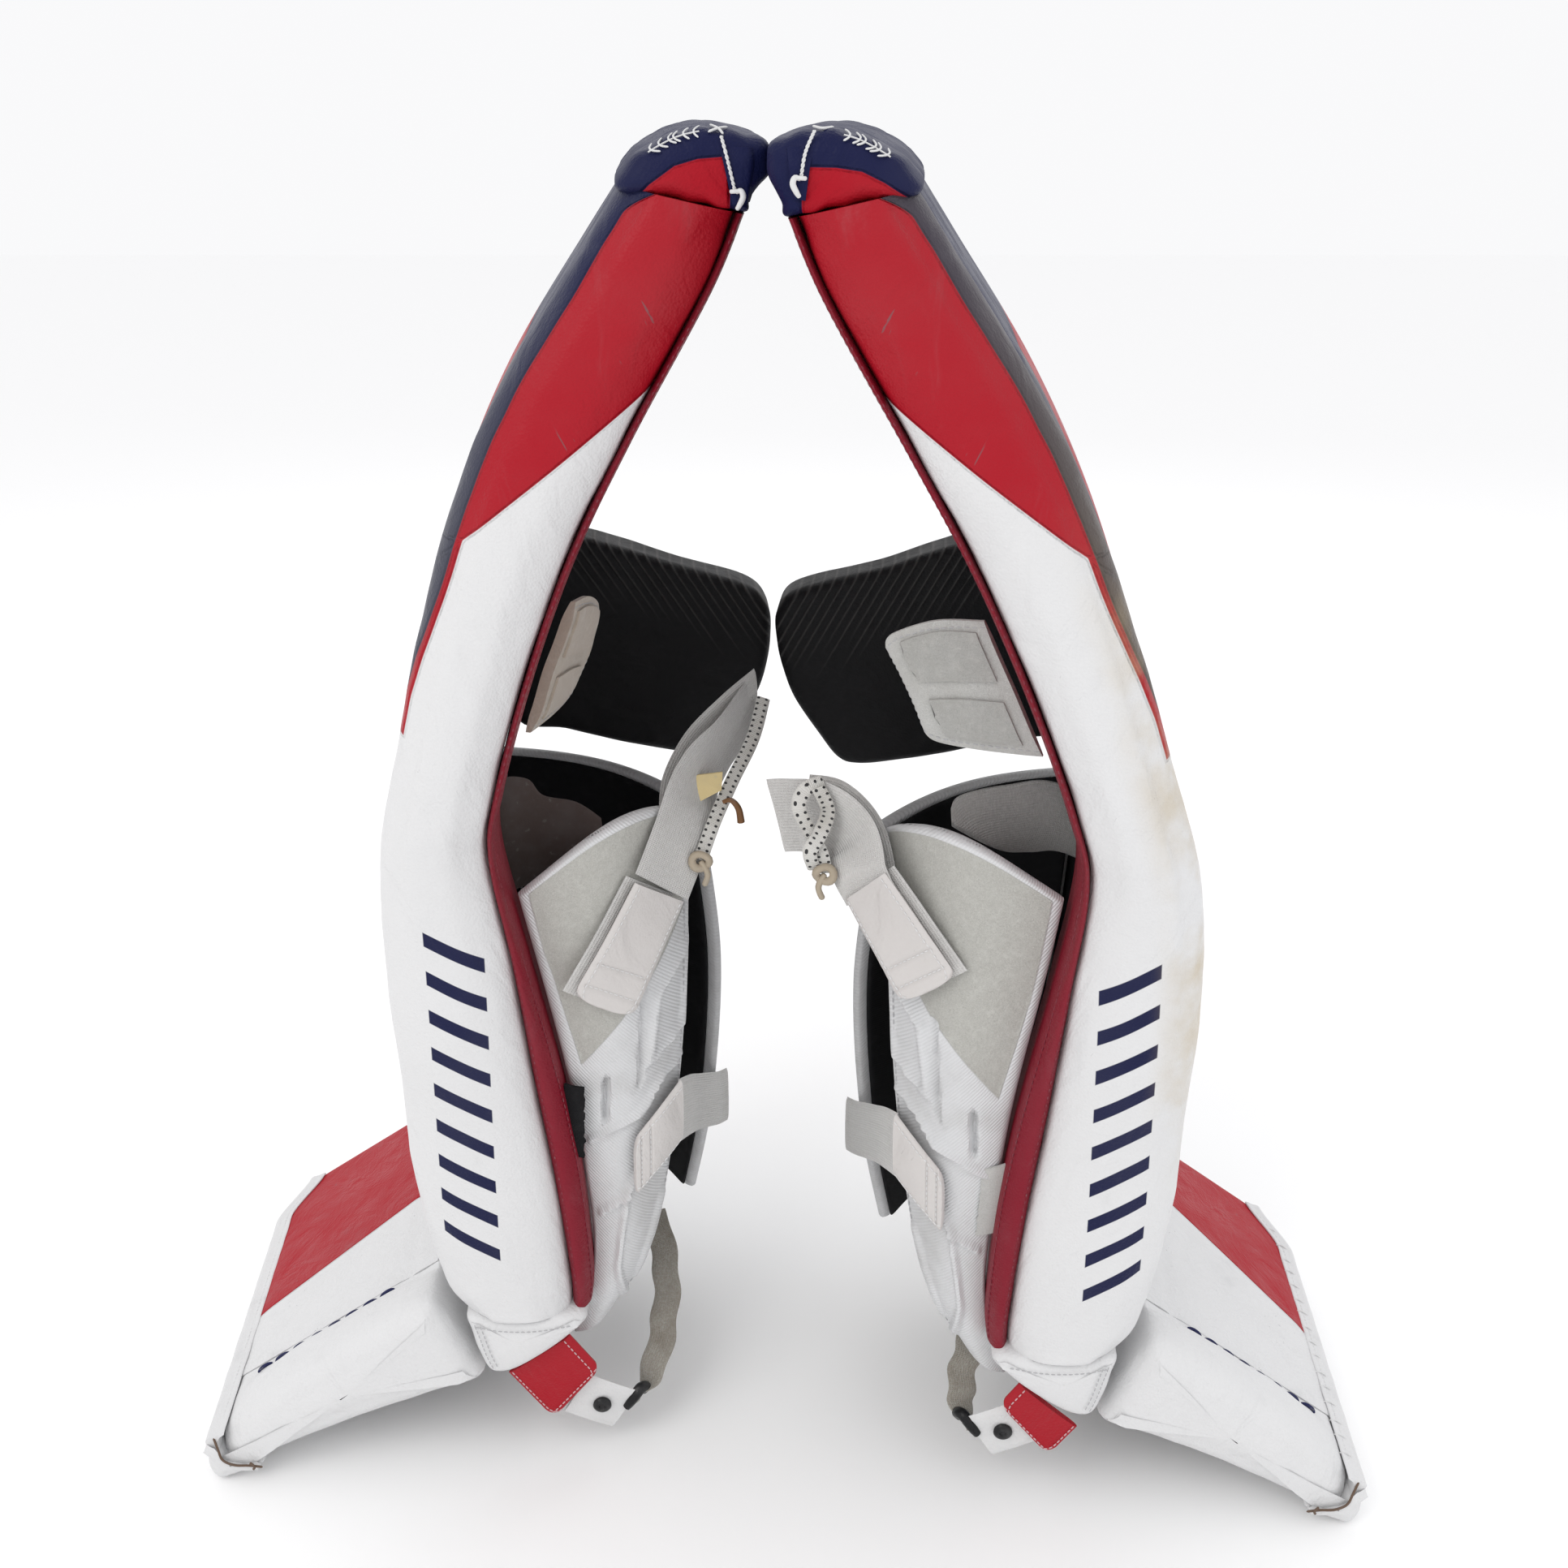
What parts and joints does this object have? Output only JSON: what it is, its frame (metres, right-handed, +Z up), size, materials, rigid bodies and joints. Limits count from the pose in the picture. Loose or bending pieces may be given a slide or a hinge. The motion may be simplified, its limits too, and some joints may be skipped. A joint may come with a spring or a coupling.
{
  "type": "pair of hockey goalie leg pads",
  "caption": "Pair of curved ice hockey goalie leg pads leaning together, with boots, knee blocks, calf wraps, elastic straps and toe straps",
  "frame": {"origin": "middle of the pair's bounding box, on the floor", "axes": "+Z up; X across the pair, the left pad on the -X side; -Y is the side that the pads' outer rolls face"},
  "size_m": [0.7675, 0.3311, 0.814],
  "materials": {
    "white_leather": "smooth synthetic leather, scuffed",
    "red_leather": "smooth synthetic leather",
    "dark_red_leather": "matt synthetic leather",
    "navy_leather": "smooth synthetic leather",
    "foam": "woven covering over foam",
    "black_leather": "embossed synthetic leather",
    "felt": "brushed loop felt",
    "eva_foam": "moulded foam",
    "elastic": "knitted elastic",
    "pearl_leather": "pearl synthetic leather",
    "webbing": "woven webbing",
    "binding": "folded leather binding",
    "black_hardware": "moulded"
  },
  "bodies": {
    "left_shin": {"left_shin_outer_roll": "white_leather", "left_shin_gusset": "dark_red_leather", "left_shin_face": "white_leather", "left_shin_core": "foam", "left_shin_inner_roll": "white_leather", "left_shin_cushion": "felt", "left_corner_patch": "white_leather", "left_toe_tab": "red_leather"},
    "left_thigh": {"left_thigh_outer_roll": "red_leather", "left_thigh_gusset": "dark_red_leather", "left_thigh_face": "white_leather", "left_thigh_core": "foam", "left_thigh_inner_roll": "white_leather", "left_top_cap": "navy_leather"},
    "left_boot": {"left_boot_core": "foam", "left_boot_face": "white_leather", "left_boot_outer_roll": "white_leather", "left_toe_binding": "binding"},
    "left_outer_wrap": {"left_outer_calf_wrap": "eva_foam", "left_upper_strap": "elastic", "left_webbing_tie": "webbing"},
    "left_inner_wrap": {"left_inner_calf_wrap": "eva_foam"},
    "left_knee_block": {"left_knee_block": "black_leather"},
    "left_knee_wing": {"left_knee_wing": "felt"},
    "left_upper_strap": {"left_upper_strap_tab": "pearl_leather"},
    "left_lower_strap": {"left_lower_strap": "elastic", "left_lower_strap_tab": "pearl_leather"},
    "left_toe_strap": {"left_toe_strap": "white_leather", "left_toe_elastic": "elastic", "left_toe_snap": "black_hardware"},
    "right_shin": {"right_shin_outer_roll": "white_leather", "right_shin_gusset": "dark_red_leather", "right_shin_face": "white_leather", "right_shin_core": "foam", "right_shin_inner_roll": "white_leather", "right_shin_cushion": "felt", "right_corner_patch": "white_leather", "right_toe_tab": "red_leather"},
    "right_thigh": {"right_thigh_outer_roll": "red_leather", "right_thigh_gusset": "dark_red_leather", "right_thigh_face": "white_leather", "right_thigh_core": "foam", "right_thigh_inner_roll": "white_leather", "right_top_cap": "navy_leather"},
    "right_boot": {"right_boot_core": "foam", "right_boot_face": "white_leather", "right_boot_outer_roll": "white_leather", "right_toe_binding": "binding"},
    "right_outer_wrap": {"right_outer_calf_wrap": "eva_foam", "right_upper_strap": "elastic", "right_webbing_tie": "webbing"},
    "right_inner_wrap": {"right_inner_calf_wrap": "eva_foam"},
    "right_knee_block": {"right_knee_block": "black_leather"},
    "right_knee_wing": {"right_knee_wing": "felt"},
    "right_upper_strap": {"right_upper_strap_tab": "pearl_leather"},
    "right_lower_strap": {"right_lower_strap": "elastic", "right_lower_strap_tab": "pearl_leather"},
    "right_toe_strap": {"right_toe_strap": "white_leather", "right_toe_elastic": "elastic", "right_toe_snap": "black_hardware"}
  },
  "joints": [
    {"name": "right_pad_slide", "type": "slide", "parent": "left_shin", "child": "right_shin", "axis": [1, 0, 0], "range_m": [0, 0.25]},
    {"name": "left_thigh_flex", "type": "hinge", "parent": "left_shin", "child": "left_thigh", "pos_m": [-0.23358, 0.01599, 0.4292], "axis": [0.0767, -0.9971, 0], "range_deg": [0, 8], "stiffness_Nm_per_rad": 15, "springref_deg": -2.86},
    {"name": "left_boot_flex", "type": "hinge", "parent": "left_shin", "child": "left_boot", "pos_m": [-0.2294, 0.01631, 0.124], "axis": [-0.0767, 0.9971, 0], "range_deg": [0, 12], "stiffness_Nm_per_rad": 60, "springref_deg": -6.88},
    {"name": "left_outer_wrap_open", "type": "hinge", "parent": "left_shin", "child": "left_outer_wrap", "pos_m": [-0.10561, -0.08048, 0.095], "axis": [0.1474, 0.0113, -0.989], "range_deg": [0, 12], "stiffness_Nm_per_rad": 0.8, "springref_deg": -17.19},
    {"name": "left_inner_wrap_open", "type": "hinge", "parent": "left_shin", "child": "left_inner_wrap", "pos_m": [-0.16256, 0.13178, 0.108], "axis": [-0.0953, -0.0073, 0.9954], "range_deg": [0, 35], "stiffness_Nm_per_rad": 0.8, "springref_deg": -17.19},
    {"name": "left_knee_block_swing", "type": "hinge", "parent": "left_thigh", "child": "left_knee_block", "pos_m": [-0.16524, 0.15364, 0.49], "axis": [0, 0, 1], "range_deg": [0, 10], "stiffness_Nm_per_rad": 1.5, "springref_deg": -11.46},
    {"name": "left_knee_wing_swing", "type": "hinge", "parent": "left_thigh", "child": "left_knee_wing", "pos_m": [-0.14361, -0.07538, 0.494], "axis": [-0.3555, -0.0274, -0.9343], "range_deg": [0, 25], "stiffness_Nm_per_rad": 0.2, "springref_deg": -17.19},
    {"name": "left_upper_strap_peel", "type": "hinge", "parent": "left_outer_wrap", "child": "left_upper_strap", "pos_m": [-0.05387, -0.05544, 0.385], "axis": [-0.6975, -0.6057, 0.3829], "range_deg": [0, 40]},
    {"name": "left_lower_strap_peel", "type": "hinge", "parent": "left_inner_wrap", "child": "left_lower_strap", "pos_m": [-0.03578, 0.07434, 0.16], "axis": [0, 0, 1], "range_deg": [0, 15]},
    {"name": "left_toe_strap_swing", "type": "hinge", "parent": "left_shin", "child": "left_toe_strap", "pos_m": [-0.13026, -0.10544, 0.047], "axis": [0.0767, -0.9971, 0], "range_deg": [0, 20], "stiffness_Nm_per_rad": 0.4, "springref_deg": -17.19},
    {"name": "right_thigh_flex", "type": "hinge", "parent": "right_shin", "child": "right_thigh", "pos_m": [0.24224, -0.02165, 0.4292], "axis": [0.0767, 0.9971, 0], "range_deg": [0, 8], "stiffness_Nm_per_rad": 15, "springref_deg": -2.86},
    {"name": "right_boot_flex", "type": "hinge", "parent": "right_shin", "child": "right_boot", "pos_m": [0.24153, -0.02159, 0.124], "axis": [-0.0767, -0.9971, 0], "range_deg": [0, 12], "stiffness_Nm_per_rad": 60, "springref_deg": -6.88},
    {"name": "right_outer_wrap_open", "type": "hinge", "parent": "right_shin", "child": "right_outer_wrap", "pos_m": [0.11797, -0.1184, 0.095], "axis": [0.1431, -0.011, 0.9896], "range_deg": [0, 35], "stiffness_Nm_per_rad": 0.8, "springref_deg": -17.19},
    {"name": "right_inner_wrap_open", "type": "hinge", "parent": "right_shin", "child": "right_inner_wrap", "pos_m": [0.17492, 0.09386, 0.108], "axis": [-0.0871, 0.0067, -0.9962], "range_deg": [0, 35], "stiffness_Nm_per_rad": 0.8, "springref_deg": -17.19},
    {"name": "right_knee_block_swing", "type": "hinge", "parent": "right_thigh", "child": "right_knee_block", "pos_m": [0.16925, 0.11636, 0.49], "axis": [0, 0, -1], "range_deg": [0, 10], "stiffness_Nm_per_rad": 1.5, "springref_deg": -11.46},
    {"name": "right_knee_wing_swing", "type": "hinge", "parent": "right_thigh", "child": "right_knee_wing", "pos_m": [0.14728, -0.11263, 0.494], "axis": [-0.4203, 0.0323, 0.9068], "range_deg": [0, 25], "stiffness_Nm_per_rad": 0.2, "springref_deg": -17.19},
    {"name": "right_upper_strap_peel", "type": "hinge", "parent": "right_outer_wrap", "child": "right_upper_strap", "pos_m": [0.03729, -0.07789, 0.3976], "axis": [-0.64, 0.6397, -0.4257], "range_deg": [0, 40]},
    {"name": "right_lower_strap_peel", "type": "hinge", "parent": "right_inner_wrap", "child": "right_lower_strap", "pos_m": [0.04814, 0.03641, 0.16], "axis": [0, 0, -1], "range_deg": [0, 45]},
    {"name": "right_toe_strap_swing", "type": "hinge", "parent": "right_shin", "child": "right_toe_strap", "pos_m": [0.14263, -0.14336, 0.047], "axis": [0.0767, 0.9971, 0], "range_deg": [0, 20], "stiffness_Nm_per_rad": 0.4, "springref_deg": -17.19}
  ],
  "couplings": [
    {"joint": "left_lower_strap_peel", "follows": "left_outer_wrap_open", "ratio": 1.25},
    {"joint": "right_lower_strap_peel", "follows": "right_outer_wrap_open", "ratio": 1.25}
  ]
}
